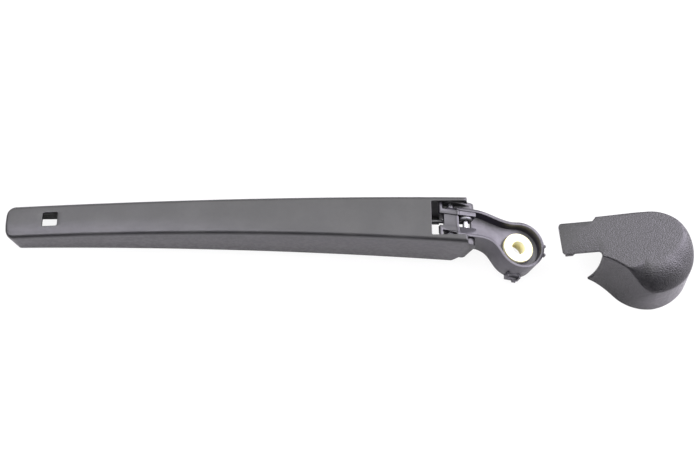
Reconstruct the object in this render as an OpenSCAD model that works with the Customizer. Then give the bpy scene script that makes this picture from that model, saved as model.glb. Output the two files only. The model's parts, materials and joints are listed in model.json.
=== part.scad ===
// Rear wiper arm with an offset mounting head and a snap-on cover cap, lying on its tip and boss.
// Frame: origin on the spindle axis at the nut seat, +X away from the tip, +Z up from the table.
// The head is drawn level in its own frame and then tilted; the arm is drawn level about its pivot.

/* [Arm] */
// Distance from the pivot axis to the tip
arm_reach = 285; // [200:1:400]
// Width of the arm at the tip
tip_w = 22.2; // [19:0.1:26]
// Width of the arm at the pivot
pivot_w = 30.8; // [30:0.1:34]
// Height of the arm at the tip
tip_h = 16.5; // [14:0.1:22]
// Height of the arm at the pivot
pivot_h = 31.3; // [29:0.1:36]
// Thickness of the arm's side walls
arm_wall = 2; // [1.5:0.1:2.4]
// Thickness of the arm's top skin
arm_skin = 2; // [1.5:0.1:3]
// Sideways offset of the tip from the pivot's middle
tip_offset = 6.7; // [0:0.1:12]
// Sideways bow of the arm between its ends
arm_bow = 1.9; // [0:0.1:4]
// Radius along the top edges of the arm
crease_r = 2.8; // [1:0.1:3]
// How far the tip's lower edge is set back
tip_slant = 7.5; // [2:0.5:12]
// Corner radius of the tip in plan
tip_corner_r = 5.5; // [3:0.5:8]
// Radius of the curved end of the side walls at the pivot
wall_end_r = 34; // [30:1:60]
// How far the side walls run past the pivot
wall_past = 10.5; // [8:0.5:12]

/* [Tip slot] */
// Length of the slot for the blade's clip
slot_l = 10.8; // [8:0.1:14]
// Width of the slot for the blade's clip
slot_w = 10.4; // [8:0.1:12]
// Distance from the tip to the slot
slot_from_tip = 24.6; // [18:0.1:60]
// Sideways shift of the slot from the arm's middle
slot_shift = 1.2; // [-2:0.1:2]
// Depth of the guide walls under the slot
slot_depth = 8.5; // [5:0.5:11]
// Thickness of the guide walls and ribs
rib_t = 1.6; // [1:0.1:2.5]

/* [Arm inside] */
// Number of cross ribs under the skin
rib_count = 5; // [2:1:8]
// Depth of the cross ribs below the skin
rib_depth = 4; // [2:0.5:5]
// Distance of the spring lug from the pivot
lug_x = 74; // [68:1:110]
// Width of the spring lug
lug_t = 3; // [2:0.1:4]
// Radius of the hook hole in the spring lug
lug_hole_r = 2.2; // [1.8:0.1:3]

/* [Cutout] */
// Length of the cutout on the tip side of the pivot
cut_back = 12.3; // [11:0.1:16]
// Distance of the cutout's near edge from the pivot's middle
cut_near = 11; // [10:0.1:11.6]
// Distance of the cutout's far edge from the pivot's middle
cut_far = 12; // [10.5:0.1:12.2]

/* [Pivot] */
// Height of the arm's top above the pivot axis
top_over_pivot = 8.5; // [7.5:0.1:11]
// Radius of the pivot pin
pin_r = 2; // [1.5:0.1:2.3]
// Radial running clearance of the pivot pin
pin_clear = 0.05; // [0.02:0.01:0.1]
// Gap between the head and each ear
ear_gap = 0.3; // [0.2:0.05:0.6]
// Radius of the ears round the pivot
ear_r = 6; // [5:0.1:6.5]
// How far the ears run past the pivot
ear_past = 15; // [12:0.5:15.5]
// Gap at the stop in the folded pose
stop_gap = 0.3; // [0.2:0.05:0.6]

/* [Head] */
// Outer radius of the boss
boss_r = 15.5; // [14.5:0.1:18]
// Height of the boss from its foot to its rim
boss_h = 17.5; // [15:0.1:22]
// Depth of the nut seat below the rim
seat_depth = 4.5; // [3:0.1:6]
// Depth of the channel floor below the rim
floor_depth = 7; // [6:0.1:8]
// Thickness of the channel floor
floor_t = 2.5; // [1.5:0.1:4]
// Thickness of the head's walls
head_wall = 2; // [1.5:0.1:2.6]
// Distance from the spindle axis to the pivot axis
pivot_dist = 45; // [40:0.5:60]
// Sideways offset of the neck from the spindle axis
neck_offset = 11.3; // [8:0.1:12]
// Width of the neck
neck_w = 19.2; // [18.4:0.1:19.2]
// Depth of the pivot axis below the rim
pivot_drop = 4.5; // [4.3:0.1:5.5]
// Tilt of the head as it lies on the table
head_tilt = 15; // [8:0.5:18]
// Radius of the barrel round the pivot pin
barrel_r = 4.2; // [3.8:0.1:4.4]

/* [Nose] */
// Distance from the pivot axis to the end of the nose
nose_back = 8.5; // [8:0.1:9.5]
// Thickness of the bars that end the nose
nose_bar = 1.8; // [1.5:0.1:2]
// Height of the bars that end the nose
nose_bar_h = 2.6; // [2:0.1:3]
// Width of the nose across its rails
nose_w = 16; // [15:0.1:17]
// Width of the gap between the rails
rail_gap = 8.2; // [7:0.1:9]
// Sideways shift of the gap between the rails
rail_shift = 0.7; // [0:0.1:1]
// Reach of the stop bars from the neck's middle
stop_reach = 12.7; // [12.2:0.1:12.9]
// Depth of the bridge plate below the rim
bridge_depth = 1.5; // [1:0.1:1.6]
// Length of the window behind the pivot
window_l = 9.8; // [9.5:0.1:11]
// Distance of the link pin from the pivot axis
link_x = 9.7; // [9.3:0.1:10]
// Radius of the link pin
link_r = 1.8; // [1.5:0.1:2]

/* [Insert] */
// Radius of the insert's nut seat
seat_r = 9.7; // [9:0.1:10.5]
// Radius of the insert's body
insert_r = 8; // [7:0.1:8.5]
// Height of the insert
insert_h = 12; // [10:0.1:12.4]
// Thickness of the nut seat flange
seat_t = 2.8; // [2:0.1:3.2]
// Radius of the plain bore under the nut seat
bore_r = 4.2; // [3.5:0.1:4.4]
// Length of the plain bore
bore_l = 5; // [3:0.1:6]
// Radius of the toothed cone at its mouth
cone_r = 5.4; // [5:0.1:6]
// Depth of the teeth in the cone
tooth_d = 0.4; // [0.2:0.05:0.5]
// Number of teeth in the cone
tooth_count = 36; // [24:1:48]

/* [Spring] */
// Radius of the spring wire
wire_r = 1.1; // [0.9:0.05:1.2]
// Outer radius of the coil
coil_r = 6; // [5:0.1:6.5]
// Length of the coil
coil_l = 38; // [34:1:40]
// Number of coil turns
coil_turns = 14; // [8:1:15]
// Distance from the pivot axis to the coil
coil_from = 22; // [19:1:24]
// Sideways shift of the spring from the pivot's middle
spring_shift = 2.9; // [2:0.1:3.2]

/* [Cap] */
// Radius of the round cover at its top edge
cap_r = 27.5; // [25:0.1:32]
// Sideways shift of the round cover
cap_side = -0.9; // [-2:0.1:1]
// Height of the cover at the neck
cap_h = 31; // [28:0.1:36]
// Drop of the cover's top from the neck to its far side
cap_fall = 2; // [1:0.5:6]
// Radius of the top edge beside the neck
cap_edge_r = 1.6; // [1:0.1:2.4]
// Width of the domed edge round the far end
dome_w = 20; // [12:0.5:22]
// Depth of the domed edge round the far end
dome_drop = 9; // [5:0.5:12]
// Outward lean of the skirt at the table
skirt_lean = 0.9; // [0:0.1:1.5]
// Thickness of the cover
cap_wall = 2; // [1.5:0.1:3]
// Distance from the cover's middle to the end of its side walls
cap_back = 31; // [30:0.5:40]
// Distance of the cover's near edge from the neck's middle
cap_near = 11.1; // [10.5:0.1:13]
// Distance of the cover's far edge from the neck's middle
cap_far = 14.4; // [13.5:0.1:16]
// Radius of the curved ends of the cover's side walls
notch_r = 51; // [46:1:120]
// Length of the tongue that fills the cutout
tongue_l = 25; // [20:0.5:30]
// Gap at the tongue's far side in the cutout
tongue_gap = 0.6; // [0.3:0.1:1]
// Gap at the tongue's near side in the cutout
tongue_near_gap = 2; // [1:0.1:2.5]
// Thickness of the tongue
tongue_t = 2.4; // [1.8:0.1:3]
// Distance of the cap from the spindle axis along X
cap_x = 81.3; // [76:0.1:110]
// Distance of the cap from the spindle axis along Y
cap_y = -7.5; // [-20:0.1:10]
// Turn of the cap on the table
cap_turn = 5.5; // [0:0.5:12]

/* [Hidden] */
$fn = 64;
rim_z = seat_depth;
foot_z = rim_z - boss_h;
floor_z = rim_z - floor_depth;
pivot_z = rim_z - pivot_drop;
arm_bottom = top_over_pivot - pivot_h;
table_z = foot_z * cos(head_tilt) - boss_r * sin(head_tilt);
pivot_wx = -pivot_dist * cos(head_tilt) + pivot_z * sin(head_tilt);
pivot_wz = pivot_dist * sin(head_tilt) + pivot_z * cos(head_tilt);
tip_foot = arm_reach - tip_slant;
arm_tilt = asin((pivot_wz - table_z) / norm([tip_foot, arm_bottom])) - atan2(-arm_bottom, tip_foot);
fold = head_tilt + arm_tilt;
under_skin = top_over_pivot - arm_skin;
stop_top = (under_skin - stop_gap - nose_back * sin(fold)) / cos(fold);
ear_in = neck_w / 2 + ear_gap;
loop_r = link_r + wire_r + 0.15;
link_ax = link_x * cos(fold);
link_az = -link_x * sin(fold);
leg_z = link_az - loop_r;
near_y = neck_offset - neck_w / 2;
far_y = neck_offset + neck_w / 2;
eps = 0.01;

// Middle line, width and height of the arm at a distance s from the pivot
function arm_y(s) = tip_offset * s / arm_reach + 4 * arm_bow * (s / arm_reach) * (1 - s / arm_reach);
function arm_w(s) = tip_w + (pivot_w - tip_w) * pow(1 - s / arm_reach, 2);
function arm_h(s) = pivot_h - (pivot_h - tip_h) * pow(max(s, 0) / arm_reach, 1.7);
function round_in(s, r, end) =
    s < end - r ? 0 : r - sqrt(max(0, r * r - pow(s - end + r, 2)));
function slant_at(s) = tip_slant * pow(min(1, max(0, (s - arm_reach + 25) / 25)), 2);

// One cross section of the arm: an upside-down U with rounded shoulders, inset by side and skin
function arm_ring(s, side, skin, low, end) =
    let (
        half = arm_w(s) / 2 - side - round_in(s, max(tip_corner_r - side, 1), end),
        top = arm_bottom + arm_h(s) - skin - round_in(s, 1.5, end),
        r = max(crease_r - skin, 0.4),
        lean = slant_at(s) / arm_h(s),
        pts = concat(
            [[-half, low]],
            [for (a = [180:-15:90]) [-half + r + r * cos(a), top - r + r * sin(a)]],
            [for (a = [90:-15:0]) [half - r + r * cos(a), top - r + r * sin(a)]],
            [[half, low]])
    )
    [for (p = pts) [-s + lean * (top - p[1]), arm_y(s) + p[0], p[1]]];

// Solid through a list of rings of equal length, closed at both ends
module loft(rings) {
    n = len(rings[0]);
    m = len(rings);
    sides = [for (j = [0:m - 2], i = [0:n - 1])
        let (k = (i + 1) % n)
        [j * n + i, j * n + k, (j + 1) * n + k, (j + 1) * n + i]];
    tris = [for (q = sides) each [[q[0], q[1], q[2]], [q[0], q[2], q[3]]]];
    caps = [[for (i = [n - 1:-1:0]) i], [for (i = [0:n - 1]) (m - 1) * n + i]];
    polyhedron(points = [for (r = rings) each r], faces = concat(tris, caps), convexity = 8);
}

// Round wire through a list of points, with even sections turned along the path
module wire(path, r, sides = 8) {
    n = len(path);
    function dir(i) =
        let (a = path[max(i - 1, 0)], b = path[min(i + 1, n - 1)])
        (b - a) / norm(b - a);
    function side_of(i) =
        i == 0
            ? let (c = cross(dir(0), [0, 1, 0.3])) c / norm(c)
            : let (u = side_of(i - 1), d = dir(i), v = u - d * (u * d)) v / norm(v);
    frames = [for (i = 0, u = side_of(0); i < n;
        i = i + 1,
        v = i < n ? u - dir(i) * (u * dir(i)) : u,
        u = v / norm(v)) u];
    rings = [for (i = [0:n - 1])
        let (u = frames[i], w = cross(dir(i), u))
        [for (a = [0:sides - 1]) path[i] + r * (u * cos(-a * 360 / sides) + w * sin(-a * 360 / sides))]];
    loft(rings);
}

// Puts what is drawn in the head's level frame onto the table
module in_head() {
    rotate([0, head_tilt, 0]) children();
}

// Puts what is drawn about the pivot in the arm's level frame onto the table
module in_arm() {
    translate([pivot_wx, neck_offset, pivot_wz]) rotate([0, -arm_tilt, 0]) children();
}

// Cylinder along Y between two sideways places
module cross_cylinder(x, z, r, y0, y1) {
    translate([x, y0, z]) rotate([-90, 0, 0]) cylinder(r = r, h = y1 - y0);
}

/* Arm */

module arm_outside() {
    stations = concat(
        [-12, 0], [for (k = [1:12]) (arm_reach - 26) * k / 12],
        [for (d = [18, 12, 8, 5.5, 3.5, 2, 1, 0.3, 0]) arm_reach - d]);
    loft([for (i = [len(stations) - 1:-1:0])
        arm_ring(stations[i], 0, 0, arm_bottom, arm_reach)]);
}

module arm_inside() {
    end = arm_reach - arm_wall;
    stations = concat(
        [-14, 0], [for (k = [1:12]) (arm_reach - 26) * k / 12],
        [for (d = [18, 12, 8, 5.5, 3.5, 2, 1, 0.3, 0]) end - d]);
    loft([for (i = [len(stations) - 1:-1:0])
        arm_ring(stations[i], arm_wall, arm_skin, arm_bottom - 2, end)]);
}

// Guide walls that hold the blade's clip square under the slot
module slot_guide() {
    s = arm_reach - slot_from_tip - slot_l / 2;
    top = arm_bottom + arm_h(s + slot_l) - arm_skin / 2;
    translate([-s, arm_y(s) + slot_shift, top - slot_depth / 2]) difference() {
        cube([slot_l + 2 * rib_t, slot_w + 2 * rib_t, slot_depth], center = true);
        cube([slot_l, slot_w, slot_depth + 2], center = true);
        translate([-slot_l / 4, slot_w / 2 + rib_t / 2, -slot_depth / 4])
            cube([slot_l / 2, rib_t + 1, slot_depth / 2 + 1], center = true);
    }
}

module slot_cut() {
    s = arm_reach - slot_from_tip - slot_l / 2;
    top = arm_bottom + arm_h(s);
    translate([-s, arm_y(s) + slot_shift, top - arm_skin - 2])
        linear_extrude(arm_skin + 4) rounded_rect(slot_l, slot_w, 1);
}

module rounded_rect(l, w, r) {
    square([l - 2 * r, w], center = true);
    square([l, w - 2 * r], center = true);
    for (x = [-1, 1], y = [-1, 1])
        translate([x * (l / 2 - r), y * (w / 2 - r)]) circle(r = r, $fn = 24);
}

// Cross ribs under the skin between the spring lug and the slot
module cross_ribs() {
    first = lug_x + 18;
    last = arm_reach - slot_from_tip - slot_l - 18;
    for (k = [0:rib_count - 1]) {
        s = first + (last - first) * k / (rib_count - 1);
        half = arm_w(s) / 2 - arm_wall / 2;
        top = arm_bottom + arm_h(s + rib_t) - arm_skin / 2;
        translate([-s, arm_y(s) - half, top - rib_depth - arm_skin / 2])
            cube([rib_t, 2 * half, rib_depth + arm_skin / 2]);
    }
}

// Lug that hangs from the skin and takes the spring's end hook
module spring_lug() {
    foot = leg_z - lug_hole_r - 3;
    top = arm_bottom + arm_h(lug_x + 6) - arm_skin / 2;
    difference() {
        union() {
            translate([-lug_x - 5, spring_shift - lug_t / 2, leg_z]) cube([10, lug_t, top - leg_z]);
            cross_cylinder(-lug_x, leg_z, 5, spring_shift - lug_t / 2, spring_shift + lug_t / 2);
            translate([-lug_x - 5 - rib_t, arm_y(lug_x) - arm_w(lug_x) / 2 + arm_wall / 2, leg_z])
                cube([rib_t + eps, arm_w(lug_x) - arm_wall, top - leg_z]);
        }
        cross_cylinder(-lug_x, leg_z, lug_hole_r, spring_shift - lug_t, spring_shift + lug_t);
    }
}

// Side view of an ear: round at the pivot, a lobe past it and a toe at the wall's foot
module ear_outline() {
    lobe_r = 4.5;
    toe_r = 2;
    hull() {
        circle(r = ear_r, $fn = 32);
        translate([ear_past - lobe_r, -pin_r - lobe_r / 2]) circle(r = lobe_r, $fn = 32);
        translate([0.63 * ear_past - toe_r, arm_bottom + 2 + toe_r]) circle(r = toe_r, $fn = 32);
        translate([toe_r, arm_bottom + 4 + toe_r]) circle(r = toe_r, $fn = 32);
    }
}

module ears() {
    depth = pivot_w / 2 - arm_wall / 2 - ear_in;
    for (side = [-1, 1])
        translate([0, side * (ear_in + depth / 2) + depth / 2, 0])
            rotate([90, 0, 0]) linear_extrude(depth) ear_outline();
}

// Everything past the curved ends of the side walls
module past_wall_end() {
    centre_x = wall_past - wall_end_r;
    difference() {
        translate([centre_x, -pivot_w, arm_bottom - 1]) cube([wall_end_r + 20, 2 * pivot_w, pivot_h + 2]);
        cross_cylinder(centre_x, 1, wall_end_r, -pivot_w - 1, pivot_w + 1);
    }
}

module arm_shell() {
    color([0.45, 0.45, 0.46]) in_arm() difference() {
        union() {
            difference() {
                arm_outside();
                arm_inside();
                past_wall_end();
            }
            ears();
            slot_guide();
            cross_ribs();
            spring_lug();
        }
        slot_cut();
        translate([-cut_back, -cut_near, 0]) cube([cut_back + 30, cut_near + cut_far, pivot_h]);
        cross_cylinder(0, 0, pin_r + pin_clear, -ear_in - 2, pivot_w);
    }
}

module pivot_pin() {
    near_end = -ear_in - 2 + 0.1;
    color([0.62, 0.62, 0.64]) in_arm() {
        cross_cylinder(0, 0, pin_r, near_end, pivot_w / 2 - 0.2);
    }
}

/* Head */

function bezier(p, t) =
    pow(1 - t, 3) * p[0] + 3 * t * pow(1 - t, 2) * p[1] + 3 * t * t * (1 - t) * p[2] + pow(t, 3) * p[3];
function slope(p, t) =
    3 * pow(1 - t, 2) * (p[1] - p[0]) + 6 * t * (1 - t) * (p[2] - p[1]) + 3 * t * t * (p[3] - p[2]);
function beside(p, t, d) =
    let (v = slope(p, t), q = bezier(p, t)) q + d * [v[1], -v[0]] / norm(v);

// The two edges of the neck run from the pivot side into the round boss
far_curve = [
    [14 - pivot_dist, far_y], [24 - pivot_dist, far_y],
    boss_r * [cos(126), sin(126)] + [-3, 1.4], boss_r * [cos(98), sin(98)]];
near_curve = [
    [16 - pivot_dist, near_y], [27 - pivot_dist, near_y],
    boss_r * [cos(210), sin(210)] + [-3.2, 4.5], boss_r * [cos(214), sin(214)]];

module neck_plan(start_x, inset) {
    steps = 12;
    polygon(concat(
        [[start_x, far_y - inset]],
        [for (i = [0:steps]) beside(far_curve, i / steps, inset)],
        [[0, 0]],
        [for (i = [steps:-1:0]) beside(near_curve, i / steps, -inset)],
        [[start_x, near_y + inset]]));
}

module head_plan(start_x, inset) {
    neck_plan(start_x, inset);
    circle(r = boss_r - inset);
}

// The open channel: outer wall, floor and the hollow under it
module channel() {
    start = 2.5 - pivot_dist;
    difference() {
        translate([0, 0, foot_z]) linear_extrude(boss_h) head_plan(start, 0);
        translate([0, 0, floor_z]) linear_extrude(boss_h) head_plan(start + head_wall, head_wall);
        translate([0, 0, foot_z - 1]) linear_extrude(floor_z - floor_t - foot_z + 1)
            head_plan(start + head_wall, head_wall);
    }
}

// Solid core round the insert, with ribs out to the wall of the boss
module boss_core() {
    core_r = seat_r + 1.8;
    translate([0, 0, foot_z]) cylinder(r = core_r, h = floor_z - foot_z);
    for (a = [0:60:300])
        rotate(a + 10) translate([core_r - 1, -rib_t / 2, foot_z + 2])
            cube([boss_r - core_r, rib_t, floor_z - foot_z - 3]);
}

// Rails, end bars and the bridge with the barrel for the pivot pin
module nose() {
    end_x = -pivot_dist - nose_back;
    rail_top = pivot_z + stop_top;
    rail_h = 9;
    rail_end = 15.5 - pivot_dist;
    low = rail_shift - rail_gap / 2;
    high = rail_shift + rail_gap / 2;
    translate([0, neck_offset, 0]) {
        for (rail = [[low, -nose_w / 2], [high, nose_w / 2]]) {
            y0 = min(rail);
            translate([end_x, y0, rail_top - rail_h]) cube([rail_end - end_x, max(rail) - y0, rail_h]);
        }
        translate([end_x, -stop_reach, rail_top - nose_bar_h]) cube([nose_bar, stop_reach + low, nose_bar_h]);
        translate([end_x, high, rail_top - nose_bar_h]) cube([nose_bar, stop_reach - high, nose_bar_h]);
        intersection() {
            cross_cylinder(-pivot_dist, pivot_z, barrel_r, -neck_w / 2, neck_w / 2);
            translate([-pivot_dist - barrel_r, -neck_w / 2, pivot_z - barrel_r - 1])
                cube([2 * barrel_r, neck_w, rim_z - bridge_depth - pivot_z + barrel_r + 1]);
        }
        translate([-pivot_dist - 5.4, low, rim_z - bridge_depth - 2])
            cube([9.8, rail_gap, 2]);
    }
}

// Window behind the pivot and the notch under it through which the spring's leg passes
module window_cut() {
    x0 = 4.4 - pivot_dist;
    notch_w = 2 * wire_r + 2;
    translate([x0, neck_offset + rail_shift - rail_gap / 2, foot_z - 1])
        cube([window_l, rail_gap, boss_h + 2]);
    translate([x0 - 3, neck_offset + spring_shift - notch_w / 2, foot_z - 1])
        cube([4, notch_w, pivot_z - barrel_r + 2 - foot_z]);
}

// Snap lugs that hold the cap: one at the foot of the boss, two small ones at its rim
module cap_lugs() {
    for (a = [5.5, -15.5])
        rotate(a) translate([boss_r - 0.5, -1, rim_z - 4]) rotate([90, 0, 90])
            linear_extrude(2.2) polygon([[0, 0], [2, 0], [2, 2.4], [0, 3.4]]);
    rotate(-95) translate([boss_r - 0.6, -4.6, foot_z]) {
        difference() {
            cube([2.8, 9.2, 6]);
            translate([1.2, 1.4, 2]) cube([3, 6.4, 5]);
        }
        translate([0, 5, 0]) cube([4, 2.6, 2]);
    }
}

module mount_head() {
    color([0.62, 0.6, 0.66]) in_head() difference() {
        union() {
            difference() {
                union() {
                    channel();
                    boss_core();
                    cap_lugs();
                }
                window_cut();
            }
            nose();
        }
        translate([0, 0, -seat_t - 0.02]) cylinder(r = seat_r, h = boss_h);
        translate([0, 0, foot_z - 1]) cylinder(r = insert_r, h = boss_h);
        cross_cylinder(-pivot_dist, pivot_z, pin_r + pin_clear, near_y - 5, far_y + 5);
        cross_cylinder(link_x - pivot_dist, pivot_z, link_r, near_y - 5, far_y + 5);
    }
}

module link_pin() {
    color([0.3, 0.3, 0.32]) in_head()
        cross_cylinder(link_x - pivot_dist, pivot_z, link_r, near_y + 0.2, far_y - 0.2);
}

// Nut seat, body and toothed cone in which the spindle's cone grips
module spindle_insert() {
    cone_h = insert_h - bore_l;
    teeth = [for (i = [0:2 * tooth_count - 1])
        let (a = i * 180 / tooth_count, r = cone_r + (i % 2) * tooth_d) r * [cos(a), sin(a)]];
    color([0.9, 0.85, 0.6]) in_head() difference() {
        translate([0, 0, -insert_h]) rotate_extrude() polygon([
            [0, 0], [insert_r - 0.6, 0], [insert_r, 0.6], [insert_r, insert_h - seat_t],
            [seat_r, insert_h - seat_t], [seat_r, insert_h - 0.4], [seat_r - 0.4, insert_h], [0, insert_h]]);
        translate([0, 0, -insert_h - 1]) cylinder(r = bore_r, h = insert_h + 2);
        translate([0, 0, -insert_h - eps]) linear_extrude(cone_h + eps, scale = bore_r / cone_r)
            polygon(teeth);
    }
}

/* Spring */

// One wire: hook in the arm's lug, coil, straight leg and hook round the link pin
module tension_spring() {
    mean_r = coil_r - wire_r;
    eye_r = (5 + wire_r + 0.7) / 2;
    steps = 14;
    link_hook = [for (a = [180:-30:-90])
        [link_ax + loop_r * cos(a), spring_shift, link_az + loop_r * sin(a)]];
    leg = [[link_ax - 5, spring_shift, leg_z], [-coil_from + 4, spring_shift, leg_z]];
    coil = [for (i = [0:coil_turns * steps])
        let (a = i * 360 / steps - 90, f = min(1, i / 4, (coil_turns * steps - i) / 4))
        [-coil_from - coil_l * i / (coil_turns * steps),
         spring_shift + f * mean_r * cos(a), leg_z + f * mean_r * sin(a)]];
    eye = [for (a = [-60:-30:-300])
        [-lug_x + eye_r + eye_r * cos(a), spring_shift + eye_r * sin(a), leg_z]];
    color([0.25, 0.25, 0.27]) in_arm() wire(concat(link_hook, leg, coil, eye), wire_r);
}

/* Cap */

cap_mid = [-5, 3];
cap_end = cap_back + 11;

function smooth(t) = let (u = min(1, max(0, t))) u * u * (3 - 2 * u);
function on_cover(r, a) = [r * cos(a), cap_side + r * sin(a)];

// Edge of the cap in plan, from the far end of the neck round to the near end, with
// the near side leaving the round cover at the angle leave by way of two guide points
function cap_edge(r, leave, guide, near_end) =
    let (
        top = neck_offset + cap_far,
        far = [[-cap_end, top], [-20, top], [-12, cap_side + r + 0.3], [0, cap_side + r]],
        start = on_cover(r, leave),
        near = [start, start + 5.5 * [sin(leave), -cos(leave)], guide, [-cap_end, near_end]]
    )
    concat(
        [for (i = [0:8]) bezier(far, i / 8)],
        [for (i = [1:20]) on_cover(r, 90 - 9 * i)],
        [for (i = [1:6]) on_cover(r, -90 + (leave + 90) * i / 6)],
        [for (i = [1:12]) bezier(near, i / 12)]);

top_edge = cap_edge(cap_r, -112, [-20, neck_offset - cap_near], neck_offset - cap_near);
foot_edge = cap_edge(cap_r + skirt_lean, -137,
    [-30, neck_offset - cap_near - 5.7], neck_offset - cap_near - 1);

// Moves points of an edge towards the cap's middle by a distance, then scales what is left
function moved_in(p, by, share = 1) =
    let (d = p - cap_mid, n = norm(d)) cap_mid + d / n * (n - by) * share;

// Height of the cap's top over a point of its plan
function cap_top(q) = cap_h - cap_fall * pow(min(1, max(0, (q[0] + cap_back) / (cap_back + cap_r))), 2);

// Share of the wide domed edge at a point: none at the neck, all of it round the far end
function dome_share(p) =
    let (a = atan2(p[1] - cap_side, p[0])) smooth((a + 155) / 50) * smooth((85 - a) / 75);

// One ring of the cover's top: a runs from 0 at the skirt to 90 where the edge ends
function cap_ring(a, inset, skin, share = 1) = [for (p = top_edge)
    let (
        w = dome_share(p),
        wide = cap_edge_r + w * (dome_w - cap_edge_r),
        drop = cap_edge_r + w * (dome_drop - cap_edge_r),
        q = moved_in(p, inset + wide * (1 - cos(a)), share)
    )
    [q[0], q[1], cap_top(q) - skin - drop * (1 - sin(a))]];

// The cover as a solid: leaning skirt, rounded edge and a dome that rises towards the middle
module cap_body(inset, skin, base) {
    loft(concat(
        [[for (p = foot_edge) let (q = moved_in(p, inset)) [q[0], q[1], base]]],
        [for (a = [0:11.25:90]) cap_ring(a, inset, skin)],
        [for (share = [0.72, 0.45, 0.2]) cap_ring(90, inset, skin, share)]));
}

// The tongue in plan, with a fillet on its near side and a slope on its far side
module tongue_plan() {
    near = neck_offset - cut_near + tongue_near_gap;
    far = neck_offset + cut_far - tongue_gap;
    fillet_r = 1.8;
    slope_l = 2.4;
    translate([-cap_back - tongue_l / 2 + 1, (near + far) / 2]) rounded_rect(tongue_l + 2, far - near, 2);
    difference() {
        translate([-cap_back - fillet_r, near - fillet_r]) square(fillet_r + 0.8);
        translate([-cap_back - fillet_r, near - fillet_r]) circle(r = fillet_r, $fn = 32);
    }
    polygon([[-cap_back - slope_l, far - 0.5], [-cap_back + 0.8, far - 0.5],
        [-cap_back + 0.8, far + slope_l], [-cap_back, far + slope_l], [-cap_back - slope_l, far]]);
}

module tongue() {
    near = neck_offset - cut_near + tongue_near_gap;
    translate([0, 0, cap_h - tongue_t]) linear_extrude(tongue_t) tongue_plan();
    translate([-cap_back - tongue_l + 2, near, cap_h - tongue_t - 3]) cube([5, 1.6, 3]);
}

module cap() {
    open_y = neck_offset - cap_near + cap_wall;
    color([0.42, 0.42, 0.43]) translate([cap_x, cap_y, table_z]) rotate(cap_turn) {
        difference() {
            cap_body(0, 0, 0);
            cap_body(cap_wall, cap_wall, -1);
            translate([-cap_end - 1, open_y, -1])
                cube([cap_end - cap_back + 6, cap_near + cap_far - 2 * cap_wall, cap_h - tongue_t - 1]);
            cross_cylinder(-cap_back - notch_r, cap_h - 2, notch_r, -cap_r, 2 * cap_r);
            translate([-cap_back - 20, -cap_r, cap_h - 2]) cube([20, 3 * cap_r, 20]);
        }
        tongue();
    }
}

arm_shell();
mount_head();
spindle_insert();
pivot_pin();
link_pin();
tension_spring();
cap();
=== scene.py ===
"""Rear wiper arm with an offset mounting head and its loose cover cap, on a white table.

Every length in the piece classes is in millimetres. A piece is built in the level frame of
the part that it belongs to and then laid on the table with that frame's matrix.
"""

import json
import logging
import math
from dataclasses import dataclass
from enum import Enum
from typing import Callable, Iterable, Sequence

import bmesh
import bpy
from mathutils import Matrix, Vector


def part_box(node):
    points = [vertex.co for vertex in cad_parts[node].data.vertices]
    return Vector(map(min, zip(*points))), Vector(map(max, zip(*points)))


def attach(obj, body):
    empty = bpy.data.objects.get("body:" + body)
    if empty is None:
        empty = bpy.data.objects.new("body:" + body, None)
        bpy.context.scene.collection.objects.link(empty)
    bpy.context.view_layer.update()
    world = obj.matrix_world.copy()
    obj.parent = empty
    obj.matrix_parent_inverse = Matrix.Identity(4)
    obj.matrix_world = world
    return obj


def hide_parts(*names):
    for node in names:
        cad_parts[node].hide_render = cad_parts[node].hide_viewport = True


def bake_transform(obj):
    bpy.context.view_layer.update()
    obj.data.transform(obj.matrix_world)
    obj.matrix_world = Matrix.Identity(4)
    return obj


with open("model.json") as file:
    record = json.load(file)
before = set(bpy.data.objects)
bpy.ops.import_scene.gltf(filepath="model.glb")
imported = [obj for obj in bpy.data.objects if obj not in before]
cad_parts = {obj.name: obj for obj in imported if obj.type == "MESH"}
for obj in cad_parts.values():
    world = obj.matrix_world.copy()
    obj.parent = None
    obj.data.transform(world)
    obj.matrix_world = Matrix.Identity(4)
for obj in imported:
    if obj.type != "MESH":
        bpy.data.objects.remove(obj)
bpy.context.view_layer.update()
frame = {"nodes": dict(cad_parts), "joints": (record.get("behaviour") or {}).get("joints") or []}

MM = 0.001
Spot = tuple[float, float]
Profile = Sequence[Spot]
Point = tuple[float, float, float]
Colour = tuple[float, float, float]
log = logging.getLogger("wiper_arm")


class Body(Enum):
    """Bodies that the hinge joins."""

    HEAD = "head"
    ARM = "arm"


class Cut(Enum):
    """Ways in which one solid acts on another."""

    REMOVE = "DIFFERENCE"
    ADD = "UNION"


# Frames of the head and the arm as they lie on the table

HEAD_TILT = math.radians(15.0)
ARM_TILT = math.radians(-1.1191)
PIVOT = Vector(frame["joints"][0]["pos_m"])
TABLE_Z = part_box("mount_head")[0].z
TO_METRES = Matrix.Scale(MM, 4)
IN_HEAD = Matrix.Rotation(HEAD_TILT, 4, "Y") @ TO_METRES
IN_ARM = Matrix.Translation(PIVOT) @ Matrix.Rotation(ARM_TILT, 4, "Y") @ TO_METRES


# Solids

JOIN_WITHIN = 0.0005
FLAT_ANGLE = math.radians(0.03)
ROUNDED_ANGLE = math.radians(38.0)
SHARP_ANGLE = math.radians(32.0)
ROUND_STEPS = 64
WIDE_ROUND_STEPS = 320
WIDE_RADIUS = 10.0


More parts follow.
